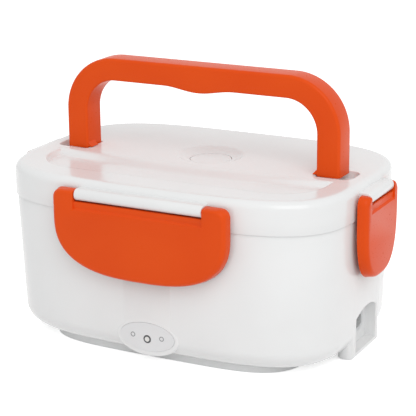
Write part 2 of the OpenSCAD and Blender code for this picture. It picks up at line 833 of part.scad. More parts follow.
module lid_shell() {
    color(white) difference() {
        union() {
            loft(rings_of(lid_profile, lid_a, lid_b));
            translate([0, 0, trough_floor - skin]) linear_extrude(trough_depth + skin - 1)
                polygon(flat(trough_outline(skin, 0, trough_back + trough_bow, trough_back, 0)));
            translate([0, dish_y, vent_boss_bottom]) rod(dish_r + 1, lid_top - 1 - vent_boss_bottom, 72);
            both_ends() translate([0, 0, pocket_z - skin]) linear_extrude(pocket_depth + skin - 1)
                polygon(pocket_plan(skin));
            on_side("front") hinge_bar(bar_length(clip_w, clip_ear));
            on_side("rear") hinge_bar(bar_length(clip_w, clip_ear));
            on_side("left") hinge_bar(bar_length(end_clip_w, end_clip_ear));
            on_side("right") hinge_bar(bar_length(end_clip_w, end_clip_ear));
            at_four(post_x, post_y) translate([0, 0, liner_top]) rod(post_r, lid_top - 2 - liner_top, 32);
        }
        trough_cut();
        dish_cut();
        both_ends() translate([0, 0, pocket_z]) linear_extrude(pocket_depth + over) polygon(pocket_plan(0));
    }
}

// Inner panel, with a channel under its edge that holds the seal
seal_in = 3.6;
seal_w = 5;
seal_h = 2.4;
liner_edge = 1.8;
lip_t = 1.2;
liner_low = liner_top - liner_t;
liner_profile = [
    even(seal_in + seal_w + lip_t + 3, liner_low), even(seal_in + seal_w + lip_t, liner_low),
    even(seal_in + seal_w + lip_t, liner_low - 1.6), even(seal_in + seal_w, liner_low - 1.6),
    even(seal_in + seal_w, liner_low), even(liner_edge, liner_low),
    even(liner_edge, liner_top), even(liner_edge + 8, liner_top),
];

module lid_liner() {
    color(pale) difference() {
        loft(rings_of(liner_profile, base_a, base_b));
        translate([0, dish_y, liner_low - over]) rod(vent_stem_r + 3, liner_t + 2 * over);
    }
}

seal_profile = [
    even(seal_in + seal_w - 0.2, liner_low), even(seal_in + seal_w - 0.2, liner_low - seal_h),
    even(seal_in + seal_w / 2, liner_low - seal_h - 0.3), even(seal_in, liner_low - seal_h), even(seal_in, liner_low),
];

module lid_seal() {
    color("#e9e9e4") loft(rings_of(seal_profile, base_a, base_b), closed = true);
}

// Cap with a snap-in stem: grooves in the stem let steam out once the cap is lifted
module vent_cap() {
    cap_low = vent_seat + 0.1;
    hook_top = vent_boss_bottom - vent_lift;
    hook_low = hook_top - 1.2;
    color(white) translate([0, dish_y, 0]) difference() {
        rotate_extrude($fn = 72) polygon([
            [0, hook_low], [vent_stem_r, hook_low], [vent_stem_r + 1, hook_top - 0.4],
            [vent_stem_r + 1, hook_top], [vent_stem_r, hook_top], [vent_stem_r, cap_low],
            [vent_cap_r, cap_low], [vent_cap_r, dish_floor - 0.5], [vent_cap_r - 0.5, dish_floor], [0, dish_floor + 0.2],
        ]);
        for (t = [0 : 90 : 270]) rotate([0, 0, t]) translate([vent_stem_r - groove_depth, -1, hook_low - over])
            cube([groove_depth + 2.2, 2, cap_low - hook_low + over]);
    }
}

// ---------- handle ----------

pivot_y = handle_y;
handle_low = lid_top - 0.5;
knee_z = handle_top - handle_r;
bend_x = handle_l / 2 - handle_r;
edge_r = 2;
inner_edge_r = 1.6;

// Bump under the middle of the grip
bump_half = 24;
function bump(x) = abs(x) < bump_half ? bump_h * pow(cos(90 * x / bump_half), 2) : 0;

// A section of the handle: from an outer to an inner point in the XZ plane, with rounded edges
function handle_section(outer, inner) =
    let (t = norm(inner - outer), dir = (inner - outer) / t, h = handle_d / 2)
    [
        for (c = [[edge_r, -1, edge_r], [t - inner_edge_r, -1, inner_edge_r],
                  [t - inner_edge_r, 1, inner_edge_r], [edge_r, 1, edge_r]], k = [0 : 3])
            let (index = c[1] < 0 ? (c[0] == edge_r ? 180 : 270) : (c[0] == edge_r ? 90 : 0),
                 a = index + 30 * k,
                 along = c[0] + c[2] * cos(a), y = c[1] * (h - c[2]) + c[2] * sin(a))
            [outer[0] + dir[0] * along, handle_y + y, outer[1] + dir[1] * along]
    ];

inner_r = handle_r - leg_w;
function bend_inner(t) = inner_r - (grip_t - leg_w) * (1 - cos(t)) ;
right_half = concat(
    [for (z = [handle_low, knee_z]) [[handle_l / 2, z], [handle_l / 2 - leg_w, z]]],
    [for (i = [1 : 9])
        let (t = 10 * i)
        [[bend_x + handle_r * cos(t), knee_z + handle_r * sin(t)],
         [bend_x + bend_inner(t) * cos(t), knee_z + bend_inner(t) * sin(t)]]],
    [for (x = [bump_half, bump_half * 0.75, bump_half / 2, bump_half / 4, 0])
        [[x, handle_top], [x, handle_top - grip_t - bump(x)]]]
);
left_half = [for (s = right_half) [for (p = s) [-p[0], p[1]]]];
middle = len(right_half) - 1;
handle_path = concat(left_half, [for (i = [middle - 1 : -1 : 0]) right_half[i]]);

// A small toe at the inner foot of each leg, just above the lid
toe_out = 2.7;
toe_h = 2.8;
toe_low = lid_top + 0.4;
module toe() {
    side = leg_x - leg_w / 2;
    translate([0, pivot_y - 0.5, 0]) along_front() linear_extrude(handle_d / 2 - 1)
        polygon([
            [side - toe_out, toe_low], [side + 1, toe_low],
            [side + 1, toe_low + toe_h + 1], [side, toe_low + toe_h],
        ]);
}

// Slot for the lug, open below and behind, and the bores for its pins
module leg_relief() {
    slot_w = lug_t + 2 * slot_gap;
    translate([leg_x - slot_w / 2, pivot_y - lug_r - 0.5, handle_low - over])
        cube([slot_w, handle_d, pivot_z + lug_r + 0.5 - handle_low + over]);
    translate([leg_x - stub_length / 2 - 0.2, pivot_y, pivot_z]) along_x()
        rod(handle_pin_r + running, stub_length + 0.4);
}

module handle() {
    color(orange) difference() {
        union() {
            loft([for (s = handle_path) handle_section(s[0], s[1])]);
            both_ends() toe();
        }
        both_ends() leg_relief();
    }
}

// ---------- clips ----------

clip_top = hinge_z + 2.7;
clip_bend_z = lid_top - 20;
clip_n = 2.7;
ear_r = 5;
clip_bevel = 2;
clip_step_z = lid_top - 14.5;
clip_notch_z = hinge_z - hinge_bar_r - 0.6;

// Half-moon outline: straight sides down to the bend, then a superellipse to the lower edge
function clip_outline(half, low, inset, y) =
    let (w = half - inset, top = clip_top - inset, depth = clip_bend_z - low - inset, er = ear_r)
    concat(
        [for (t = [90 : -30 : 0]) [w - er * (1 - cos(t)), y, top - er * (1 - sin(t))]],
        [for (i = [0 : 16])
            let (t = 180 * i / 16)
            [w * side_of(cos(t)) * pow(abs(cos(t)), 2 / clip_n), y, clip_bend_z - depth * pow(sin(t), 2 / clip_n)]],
        [for (t = [180 : -30 : 90]) [-w + er * (1 + cos(t)), y, top - er * (1 - sin(t))]]
    );

module clip(width, ear, low) {
    half = width / 2;
    gap = width - 2 * ear;
    plate = clip_depth - clip_wall;
    stub = bore_depth - 0.5 + bar_gap;
    difference() {
        union() {
            difference() {
                loft([
                    clip_outline(half, low, 0, clip_back),
                    clip_outline(half, low, 0.6, clip_depth - clip_bevel),
                    clip_outline(half, low, 1.2, clip_depth - clip_bevel * 0.35),
                    clip_outline(half, low, 2.2, clip_depth),
                ]);
                intersection() {
                    loft([
                        clip_outline(half, low, clip_wall, clip_back - over),
                        clip_outline(half, low, clip_wall + 0.4, plate),
                    ]);
                    translate([-width, -width, low]) cube([2 * width, 2 * width, hinge_z - 8 - low]);
                }
            }
            hook(gap);
        }
        // Room for the lid's hinge bar between the ears
        translate([-gap / 2, -over, clip_notch_z]) cube([gap, clip_depth + 2 * over, 20]);
        // Shallow step in front of the bar
        translate([-gap / 2, clip_depth - 1.2, clip_step_z]) cube([gap, 3, 20]);
        // The ears' upper rear corners are round about the hinge
        translate([-width, hinge_out, hinge_z]) difference() {
            translate([0, -6, 0]) cube([2 * width, 6, 6]);
            along_x() rod(hinge_bar_r - 0.1, 2 * width);
        }
    }
    for (s = [-1, 1]) translate([s * (half - ear + 1 - (stub + 1) / 2) - (stub + 1) / 2, hinge_out, hinge_z])
        along_x() rod(hinge_pin_r, stub + 1);
}

// Hook below the base's ledge; with a bite it catches the ledge's underside
module hook(gap) {
    tip = ledge_out + ledge_gap - hook_bite;
    top = ledge_top - ledge_h - ledge_gap;
    length = gap - 6;
    translate([-length / 2, 0, 0]) rotate([90, 0, 90]) linear_extrude(length)
        polygon([
            [tip, top], [tip, top - 1.5], [clip_depth - clip_wall + 0.3, top - 5],
            [clip_depth - clip_wall + 0.3, top],
        ]);
}

module clip_front() {
    color(orange) on_side("front") clip(clip_w, clip_ear, clip_bottom);
}

module clip_rear() {
    color(orange) on_side("rear") clip(clip_w, clip_ear, clip_bottom);
}

module clip_left() {
    color(orange) on_side("left") clip(end_clip_w, end_clip_ear, end_clip_bottom);
}

module clip_right() {
    color(orange) on_side("right") clip(end_clip_w, end_clip_ear, end_clip_bottom);
}

body_shell();
base_cover();
cover_screws();
heating_basin();
plate_gasket();
heating_plate();
plate_screws();
heating_element();
insulation_sheet();
element_bracket();
bracket_screws();
thermostat();
thermal_fuse();
heater_leads();
inlet_socket();
inlet_pins();
inlet_leads();
lamp_panel();
lamp_lens();
lamp_led();
lamp_leads();
food_tray();
lid_shell();
lid_liner();
lid_seal();
handle_lugs();
vent_cap();
handle();
clip_front();
clip_rear();
clip_left();
clip_right();
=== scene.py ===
# %% [markdown]
# # An electric lunch box
#
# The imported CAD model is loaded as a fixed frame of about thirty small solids. It has every size and
# joint, but its rounded faces are made of flat strips. In this lesson the pieces that the eye rests on
# are worked out again as smooth surfaces in the same places, and every piece gets its real finish.

import json
import math

import bmesh
import bpy
import numpy as np
from mathutils import Matrix, Vector
from mathutils.geometry import delaunay_2d_cdt


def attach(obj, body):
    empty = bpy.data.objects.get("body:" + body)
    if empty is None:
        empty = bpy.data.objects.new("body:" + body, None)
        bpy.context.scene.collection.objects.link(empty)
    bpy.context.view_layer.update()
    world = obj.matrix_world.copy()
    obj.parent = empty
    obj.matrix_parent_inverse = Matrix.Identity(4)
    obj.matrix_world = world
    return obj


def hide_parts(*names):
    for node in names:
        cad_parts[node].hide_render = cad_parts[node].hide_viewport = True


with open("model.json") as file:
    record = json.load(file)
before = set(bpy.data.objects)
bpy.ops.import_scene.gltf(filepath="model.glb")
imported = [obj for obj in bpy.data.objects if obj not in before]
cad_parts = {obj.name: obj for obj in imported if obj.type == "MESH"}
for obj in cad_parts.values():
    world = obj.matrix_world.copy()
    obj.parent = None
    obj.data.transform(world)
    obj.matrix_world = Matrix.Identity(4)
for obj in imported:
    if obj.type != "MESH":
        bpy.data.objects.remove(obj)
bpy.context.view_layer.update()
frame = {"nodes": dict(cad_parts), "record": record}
nodes = frame["nodes"]
scene = bpy.context.scene

# %% [markdown]
# ## The camera
#
# A long lens far away keeps the box's edges nearly parallel. The camera stands to the right of the
# front and looks a little down. Its three angles become the three axes of its matrix, so that no
# object has to be tracked.

# %% Camera
PICTURE_WIDTH = 416
FOCAL_PIXELS = 1556.3
SENSOR_MM = 36.0
CAMERA_PLACE = Vector((0.4237, -0.8163, 0.3501))
CAMERA_ANGLES = (27.258, 16.581, -0.489)  # yaw, pitch and roll in degrees

yaw, pitch, roll = (math.radians(angle) for angle in CAMERA_ANGLES)
forward = Vector((-math.sin(yaw) * math.cos(pitch), math.cos(yaw) * math.cos(pitch), -math.sin(pitch)))
level_right = Vector((math.cos(yaw), math.sin(yaw), 0.0))
level_up = level_right.cross(forward)
right = math.cos(roll) * level_right + math.sin(roll) * level_up
up = math.cos(roll) * level_up - math.sin(roll) * level_right

camera_data = bpy.data.cameras.new("camera")
camera_data.sensor_width = SENSOR_MM
camera_data.lens = FOCAL_PIXELS / PICTURE_WIDTH * SENSOR_MM
camera = bpy.data.objects.new("camera", camera_data)
scene.collection.objects.link(camera)
turn = Matrix((right, up, -forward)).transposed()
camera.matrix_world = Matrix.Translation(CAMERA_PLACE) @ turn.to_4x4()
scene.camera = camera
scene.view_settings.view_transform = "Standard"
print("lens in mm:", round(camera_data.lens, 1))

# %% [markdown]
# ## Sizes
#
# All sizes are in millimetres, as on the CAD's drawing, and one factor turns them into Blender's
# metres at the last moment. The box in plan is a superellipse: an ellipse whose power is raised from
# 2 to 3.8, which gives long, almost straight sides with no visible start of the corner.

# %% Sizes of the box
MM = 0.001
CORNER_POWER = 3.8
LID_A, LID_B, LID_TOP = 110.0, 76.0, 108.0  # half length, half width and height of the top
BASE_A, BASE_B, SEAM_Z = 109.2, 75.2, 88.5
FOOT_H, BOTTOM_R, DRAFT = 4.5, 13.0, 2.5
LID_WALL, SHELL_WALL = 2.4, 2.4
HANDLE_Y, HANDLE_TOP = 1.7, 166.0
HINGE_Z = 101.0  # height of the pins that the clips turn on
RING_POINTS = 320
SEAM_EDGE = [(0.12, 0.0), (0.03, 0.03), (0.0, 0.12)]  # rounded edge: inset, and distance from the seam
BEYOND = 120.0  # above and outside everything that is cut
SIDES = {"front": (1, -1), "rear": (1, 1), "right": (0, 1), "left": (0, -1)}  # axis and its sign


# %% [markdown]
# ## Building with arrays
#
# Every new piece is a grid of points: one ring of points carried through rows, or one section carried
# along a path. Numpy works out all points at once and also the four corners of each face.

# %% Curves
def superellipse(a, b, t, power=CORNER_POWER):
    """x = a |cos t|^(2/p) and y = b |sin t|^(2/p), each with the sign of its cosine or sine."""
    c, s = np.cos(t), np.sin(t)
    x = a * np.sign(c) * np.abs(c) ** (2 / power)
    y = b * np.sign(s) * np.abs(s) ** (2 / power)
    return np.stack([x, y], axis=-1)


def even_angles(a, b, count, power=CORNER_POWER):
    """Values of t that space the superellipse's points evenly: the length so far is inverted."""
    fine = np.linspace(0, 2 * np.pi, 40001)
    steps = np.linalg.norm(np.diff(superellipse(a, b, fine, power), axis=0), axis=1)
    length = np.concatenate([[0], np.cumsum(steps)])
    wanted = (np.arange(count) + 0.5) / count * length[-1]
    return np.interp(wanted, length, fine)


def arc(u, v, radius, start, end, count):
    """Points (u + r cos t, v + r sin t) for angles t from start to end in degrees."""
    t = np.radians(np.linspace(start, end, count))
    return np.column_stack([u + radius * np.cos(t), v + radius * np.sin(t)])


def full_turn(count):
    """Angles of evenly spaced points on a whole circle."""
    return np.linspace(0, 2 * np.pi, count, endpoint=False)


def quarter(centre_inset, centre_z, radius, start, end, steps):
    """Rows (inset, z) on a circle: an arc whose first coordinate grows inwards."""
    return arc(-centre_inset, centre_z, radius, start, end, steps) * [-1, 1]


# %% Grids and fills
def lift(plan, z):
    """Plan points (rows, columns, 2) with a third coordinate z, given for each row or each column."""
    return np.dstack([plan, np.broadcast_to(z, plan.shape[:2])])


def rings(rows, a, b, t):
    """A grid of points: row i is the superellipse (a - inset, b - inset) at height z, for each (inset, z)."""
    rows = np.asarray(rows, float)
    inset, z = rows[:, 0, None], rows[:, 1, None]
    return lift(superellipse(a - inset, b - inset, t), z)


def turned(profile, centre_x, centre_y, count=96):
    """Surface of revolution about a vertical line: profile rows are (radius, z)."""
    profile = np.asarray(profile, float)
    t = full_turn(count)
    r, z = profile[:, 0, None], profile[:, 1, None]
    return lift(np.stack([centre_x + r * np.cos(t), centre_y + r * np.sin(t)], axis=-1), z)


def grid(points, wrap_rows=False):
    """(vertices, faces) of a grid of points (rows, columns, 3). Each face joins point (i, j) to its
    neighbours (i+1, j), (i+1, j+1) and (i, j+1). The last column joins the first, and with wrap_rows
    the last row does too."""
    rows, columns = points.shape[:2]
    i = np.arange(rows if wrap_rows else rows - 1)[:, None]
    j = np.arange(columns)[None, :]
    i2, j2 = (i + 1) % rows, (j + 1) % columns
    corners = [i * columns + j, i2 * columns + j, i2 * columns + j2, i * columns + j2]
    faces = np.stack([np.broadcast_to(c, (i.size, j.size)) for c in corners], axis=-1).reshape(-1, 4)
    return points.reshape(-1, 3), faces


def cap(ring):
    """One flat many-sided face over a closed ring of points."""
    return ring, np.arange(len(ring))[None, :]


def inside(points, loop):
    """True for each 2-D point inside a loop: a ray to the right crosses the loop an odd number of times."""
    x, y = points[:, 0, None], points[:, 1, None]
    a, b = loop, np.roll(loop, -1, axis=0)
    spans = (a[:, 1] > y) != (b[:, 1] > y)
    rise = np.where(b[:, 1] == a[:, 1], 1.0, b[:, 1] - a[:, 1])
    crossing = a[:, 0] + (y - a[:, 1]) / rise * (b[:, 0] - a[:, 0])
    return (spans & (x < crossing)).sum(axis=1) % 2 == 1


def flat_fill(outer, holes, z):
    """Triangles of the flat face at height z between an outer loop and the holes in it."""
    loops = [outer[:, :2]] + [hole[:, :2] for hole in holes]
    starts = np.cumsum([0] + [len(loop) for loop in loops])
    edges = [(start + k, start + (k + 1) % len(loop))
             for start, loop in zip(starts, loops) for k in range(len(loop))]
    made = delaunay_2d_cdt([Vector(p) for p in np.concatenate(loops).tolist()], edges, [], 0, 1e-6)
    points, triangles = np.array([tuple(p) for p in made[0]]), np.array(made[2])
    middle = points[triangles].mean(axis=1)
    keep = inside(middle, loops[0])
    for hole in loops[1:]:
        keep &= ~inside(middle, hole)
    return np.column_stack([points, np.full(len(points), z)]), triangles[keep]


# %% From arrays to a finished piece
MERGE_MM = 0.004
SHARP_ANGLE = 38


def shade(obj, sharp=SHARP_ANGLE):
    """Links the object and shades it smooth except across edges sharper than so many degrees."""
    if obj.name not in scene.collection.objects:
        scene.collection.objects.link(obj)
    obj.data.shade_smooth()
    obj.data.set_sharp_from_angle(angle=math.radians(sharp))
    return obj


def piece(name, parts):
    """One object from (vertices in mm, faces) parts: joined, doubles merged, normals turned outwards."""
    offsets = np.cumsum([0] + [len(part[0]) for part in parts])
    vertices = np.concatenate([part[0] for part in parts]) * MM
    faces = [face for offset, part in zip(offsets, parts) for face in (np.asarray(part[1]) + offset).tolist()]
    mesh = bpy.data.meshes.new(name)
    mesh.from_pydata(vertices.tolist(), [], faces)
    work = bmesh.new()
    work.from_mesh(mesh)
    bmesh.ops.remove_doubles(work, verts=work.verts, dist=MERGE_MM * MM)
    bmesh.ops.recalc_face_normals(work, faces=work.faces)
    work.to_mesh(mesh)
    work.free()
    return shade(bpy.data.objects.new(name, mesh))


def join(name, pieces):
    """One object from several, which are deleted."""
    work = bmesh.new()
    for obj in pieces:
        work.from_mesh(obj.data)
        bpy.data.objects.remove(obj)
    mesh = bpy.data.meshes.new(name)
    work.to_mesh(mesh)
    work.free()
    return shade(bpy.data.objects.new(name, mesh))


# %% Modifiers made permanent
def apply_modifiers(obj):
    """The mesh becomes what the object's modifiers make of it, and the modifiers go."""
    bpy.context.view_layer.update()
    mesh = bpy.data.meshes.new_from_object(obj.evaluated_get(bpy.context.evaluated_depsgraph_get()))
    obj.modifiers.clear()
    obj.data = mesh


def cut(obj, *cutters, operation="DIFFERENCE"):
    """Takes closed cutters away from a closed piece with exact booleans, or with UNION adds them, and
    deletes the cutters."""
    for cutter in cutters:
        boolean = obj.modifiers.new("cut", "BOOLEAN")
        boolean.operation = operation
        boolean.solver = "EXACT"
        boolean.object = cutter
    apply_modifiers(obj)
    for cutter in cutters:
        bpy.data.objects.remove(cutter)
    shade(obj)


def soften(obj, width_mm, from_angle=50, sharp=45):
    """A narrow two-step bevel on edges sharper than from_angle."""
    bevel = obj.modifiers.new("soft_edges", "BEVEL")
    bevel.width = width_mm * MM
    bevel.segments = 2
    bevel.limit_method = "ANGLE"
    bevel.angle_limit = math.radians(from_angle)
    bevel.harden_normals = False
    apply_modifiers(obj)
    shade(obj, sharp)


# %% [markdown]
# Many small parts of a moulding are one flat outline pushed along an axis, with its ends rounded over.
# A prism takes the outline as a function of the inset, and rows that say how the inset changes.

# %% Prisms
AXES = {"x": [2, 0, 1], "y": [1, 2, 0], "z": [0, 1, 2]}


def carry(outline, rows, order):
    """Rows of points: outline(inset), whose points are (u, v), at place w for each (inset, w), with the
    three coordinates u, v, w put in the given order."""
    loops = [(outline(inset), w) for inset, w in rows]
    return np.stack([np.column_stack([loop, np.full(len(loop), w)]) for loop, w in loops])[..., order]


def prism(outline, rows, axis):
    """Closed solid: outline(inset) is carried through rows (inset, place along the axis). The outline's
    two coordinates are (y, z) for axis x, (z, x) for axis y and (x, y) for axis z."""
    points = carry(outline, rows, AXES[axis])
    return [grid(points), cap(points[0][::-1]), cap(points[-1])]


def edge_rows(low, high, radius, steps=4):
    """Rows of a prism from low to high whose two rims are rounded by radius."""
    t = np.radians(np.linspace(0, 90, steps))
    inset = radius * (1 - np.sin(t))
    rise = radius * (1 - np.cos(t))
    return list(zip(inset, low + rise)) + list(zip(inset[::-1], (high - rise)[::-1]))


def rounded_box(u0, u1, v0, v1, radius, steps=5):
    """outline(inset) of a rectangle u0..u1 by v0..v1 with corners of that radius."""
    corners = [(u1, v1, 0), (u0, v1, 90), (u0, v0, 180), (u1, v0, 270)]
    least_r = 0.02

    def outline(inset):
        r = max(radius - inset, least_r)
        parts = []
        for u, v, start in corners:
            cu = u - np.sign(u - (u0 + u1) / 2) * (inset + r)
            cv = v - np.sign(v - (v0 + v1) / 2) * (inset + r)
            parts.append(arc(cu, cv, r, start, start + 90, steps))
        return np.concatenate(parts)
    return outline


def oval(half_u, half_v, centre_u, centre_v, power, count):
    """outline(inset) of a superellipse about a centre."""
    t = even_angles(half_u, half_v, count, power)
    return lambda inset: superellipse(half_u - inset, half_v - inset, t, power) + [centre_u, centre_v]


# %% [markdown]
# ## Finishes
#
# One function turns a written colour into the linear numbers that the renderer works with, and one
# adds a node with its settings and links. Each finish is named for the real material.

# %% Colour and nodes
def linear(hex_colour):
    """sRGB hex to linear RGBA: below 0.04045 a straight line, above it a power of 2.4."""
    value = np.array([int(hex_colour[k:k + 2], 16) for k in (1, 3, 5)]) / 255
    value = np.where(value <= 0.04045, value / 12.92, ((value + 0.055) / 1.055) ** 2.4)
    return (*value.tolist(), 1.0)


def empty_tree(owner):
    """The node tree of a material or a world, with no nodes in it."""
    owner.use_nodes = True
    owner.node_tree.nodes.clear()
    return owner.node_tree


def add(tree, kind, inputs=None, **settings):
    """A node of one kind, its settings, and its inputs: a socket is linked and a value is set."""
    made = tree.nodes.new(kind)
    for name, value in settings.items():
        setattr(made, name, value)
    for name, value in (inputs or {}).items():
        if isinstance(value, bpy.types.NodeSocket):
            tree.links.new(value, made.inputs[name])
        else:
            made.inputs[name].default_value = value
    return made


# %% One kind of surface for all mouldings
FLOW_MM = 45
GLOSS_DRIFT = 0.03
BUMP_STRENGTH = 0.5


def moulded(name, light, dark, roughness, ior, grain_mm, grain_depth_mm, metallic=0.0):
    """A moulded or rolled surface: the colour drifts between light and dark over some centimetres, as
    the melt flowed, and a fine grain of grain_mm lies in the surface and in the gloss."""
    material = bpy.data.materials.new(name)
    tree = empty_tree(material)
    where = add(tree, "ShaderNodeTexCoord").outputs["Object"]
    flow = add(tree, "ShaderNodeTexNoise", {"Vector": where, "Scale": 1 / (FLOW_MM * MM), "Detail": 2.0})
    grain = add(tree, "ShaderNodeTexNoise", {"Vector": where, "Scale": 1 / (grain_mm * MM), "Detail": 3.0})
    ramp = add(tree, "ShaderNodeValToRGB", {"Fac": flow.outputs["Fac"]})
    for stop, position, colour in zip(ramp.color_ramp.elements, (0.35, 0.65), (dark, light)):
        stop.position, stop.color = position, linear(colour)
    gloss = add(tree, "ShaderNodeMapRange", {
        "Value": grain.outputs["Fac"], "From Min": 0.3, "From Max": 0.7,
        "To Min": roughness - GLOSS_DRIFT, "To Max": roughness + GLOSS_DRIFT})
    bump = add(tree, "ShaderNodeBump", {
        "Height": grain.outputs["Fac"], "Strength": BUMP_STRENGTH, "Distance": grain_depth_mm * MM})
    shader = add(tree, "ShaderNodeBsdfPrincipled", {
        "Base Color": ramp.outputs["Color"], "Roughness": gloss.outputs["Result"],
        "Normal": bump.outputs["Normal"], "Metallic": metallic, "IOR": ior})
    add(tree, "ShaderNodeOutputMaterial", {"Surface": shader.outputs["BSDF"]})
    return material


# %% [markdown]
# The shell and the lid are polypropylene from a polished mould, bright white with a soft gloss. The
# handle and the clips are the same plastic with an orange pigment. The tray and liners are natural
# polypropylene, slightly warmer and duller. Inside are sheet steel, die-cast aluminium, brass and
# silicone rubber.
#
# The numbers after the two colours are the roughness, the index of refraction, and the width and
# depth of the grain in millimetres.

# %% The finishes of this box
FINISH = {
    "shell_white": moulded("polished_white_polypropylene", "#EDEEEE", "#EAEBEB", 0.2, 1.49, 1.4, 0.0004),
    "orange_plastic": moulded("orange_polypropylene", "#E65216", "#E34E14", 0.3, 1.2, 1.4, 0.0006),
    "pale_plastic": moulded("natural_polypropylene", "#EEEDE7", "#E8E7E0", 0.38, 1.49, 0.8, 0.008),
    "cover_grey": moulded("textured_pale_grey_polypropylene", "#EAEBEB", "#E6E7E7", 0.5, 1.49, 1.1, 0.01),
    "panel_grey": moulded("satin_panel_film", "#E6E7E8", "#E3E4E5", 0.35, 1.5, 0.7, 0.002),
    "socket_grey": moulded("grey_socket_nylon", "#D2D4D5", "#CDCFD0", 0.5, 1.53, 0.6, 0.004),
    "dark_plastic": moulded("black_thermostat_nylon", "#3A3C3F", "#343639", 0.5, 1.53, 0.6, 0.01),
    "seal_rubber": moulded("white_silicone_rubber", "#E6E4DC", "#DEDCD4", 0.6, 1.41, 0.7, 0.01),
    "dark_rubber": moulded("grey_silicone_rubber", "#5A5D60", "#525558", 0.65, 1.41, 0.7, 0.01),
    "screw_steel": moulded("zinc_plated_steel", "#B9BCBF", "#ACAFB3", 0.32, 1.5, 0.5, 0.004, 1.0),
    "plate_aluminium": moulded("die_cast_aluminium", "#CACCCE", "#BDBFC2", 0.4, 1.5, 0.7, 0.012, 1.0),
    "contact_brass": moulded("nickel_plated_brass", "#D5C9A8", "#C9BC99", 0.25, 1.5, 0.5, 0.004, 1.0),
    "lead_brown": moulded("brown_wire_sleeve", "#8A4A3C", "#7E4236", 0.5, 1.41, 0.6, 0.01),
    "lead_white": moulded("white_wire_sleeve", "#E2DFD5", "#D8D5CB", 0.5, 1.41, 0.6, 0.01),
    "insulation": moulded("mica_sheet", "#B08A52", "#A07A44", 0.45, 1.56, 1.6, 0.02),
    "lens_clear": moulded("frosted_lens", "#E9E9E6", "#E2E2DE", 0.3, 1.49, 0.5, 0.004),
}
dark_ink = moulded("dark_grey_ink", "#4C4E50", "#484A4C", 0.5, 1.5, 0.5, 0.002)
pale_ink = moulded("pale_grey_ink", "#8D8F91", "#898B8D", 0.5, 1.5, 0.5, 0.002)


def finish(mesh, material):
    """The mesh gets this one material."""
    mesh.materials.clear()
    mesh.materials.append(material)


for part in frame["record"]["subparts"]:
    finish(nodes[part["node"]].data, FINISH[part["material_slot"]])
print("finishes:", len(FINISH))


def place(obj, body, slot, node_name=None, material=None):
    """The piece rides its body, takes the finish of a CAD slot or the material given, and may stand for a CAD node.
    """
    finish(obj.data, material or FINISH[slot])
    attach(obj, body)
    if node_name:
        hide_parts(node_name)
    print(f"{obj.name}: {len(obj.data.polygons)} faces")


# %% [markdown]
# ## The lid
#
# The lid is one smooth skin: up the inner wall, round the skirt's foot, up the outer wall and over a
# five millimetre round to the flat top. The top has a trough, a dish and two pockets, and each brings
# its own soft lip and a narrow flat band round it. The flat face between the bands is filled last, so
# that no shading from a lip leaks across it.

# %% Trough
TROUGH_HALF, TROUGH_FRONT, TROUGH_BACK, TROUGH_BOW = 92.0, 52.3, 15.5, 2.5
TROUGH_R, TROUGH_DEPTH = 28.0, 3.5
LIP_GROW, BAND_GROW = 0.8, 2.0  # outside the trough's edge
WALL_INSET, FLOOR_INSET = 1.6, 4.3  # inside it, at the wall's foot and at the flat floor
RAMP_MIDDLE, RAMP_END = 11.0, 1.5  # how far the back wall reaches forward
TROUGH_FLOOR = LID_TOP - TROUGH_DEPTH


def trough_loop(grow, back_middle, back_end):
    """A straight front edge with round corners, and a back edge y = -middle + (middle - end) u^2 for u
    from -1 to 1 along the length."""
    half, front, r = TROUGH_HALF + grow, -TROUGH_FRONT - grow, TROUGH_R + grow
    u = np.linspace(1, -1, 97)
    back = np.column_stack([half * u, -back_middle + (back_middle - back_end) * u ** 2 + grow])
    left = arc(-half + r, front + r, r, 180, 270, 25)
    along = np.linspace(-half + r, half - r, 60)[1:-1]
    edge = np.column_stack([along, np.full(len(along), front)])
    corner_right = arc(half - r, front + r, r, 270, 360, 25)
    return np.concatenate([back, left, edge, corner_right])


def level(loop, z):
    """One row of a grid: a loop at a height."""
    return np.column_stack([loop, np.full(len(loop), z)])[None]


def s_curve(top, bottom, depth, rows=12):
    """Rows of a soft wall from loop top down to loop bottom: the drop follows 3s^2 - 2s^3."""
    s = np.linspace(0, 1, rows)[:, None]
    drop = depth * (3 * s ** 2 - 2 * s ** 3)
    plan = top[None] * (1 - s[..., None]) + bottom[None] * s[..., None]
    return lift(plan, LID_TOP - drop)


def trough_parts():
    """The trough's flat band, its soft wall, which is steep in front and at the ends and a long ramp in
    the middle of the back, and its floor."""
    middle, end = TROUGH_BACK + TROUGH_BOW, TROUGH_BACK
    band = trough_loop(BAND_GROW, middle, end)
    top = trough_loop(LIP_GROW, middle, end)
    bottom = trough_loop(-WALL_INSET, middle + RAMP_MIDDLE, end + RAMP_END)
    flat_floor = trough_loop(-FLOOR_INSET, middle + RAMP_MIDDLE, end + RAMP_END)
    wall = s_curve(top, bottom, TROUGH_DEPTH)
    points = np.concatenate([level(band, LID_TOP), wall, level(flat_floor, TROUGH_FLOOR)])
    return [grid(points), flat_fill(flat_floor, [], TROUGH_FLOOR)], band


# %% Dish with the vent's seat
DISH_R, DISH_DEPTH, DISH_Y = 20.5, 2.7, 10.5
DISH_FLOOR = LID_TOP - DISH_DEPTH
DISH_LIP = [(-0.1, 0.22), (0.5, 0.05), (1.1, 0.0), (2.2, 0.0)]  # beyond the dish's radius, below the top
BOWL_END = 0.7
CAP_HOLE_R = 13.12
SEAT_Z = DISH_FLOOR - 2.1
STEM_R, STEM_LOW = 5.0, SEAT_Z - 2.0
AXIS_R = 0.01
HOLE_TOP = DISH_FLOOR - 0.3


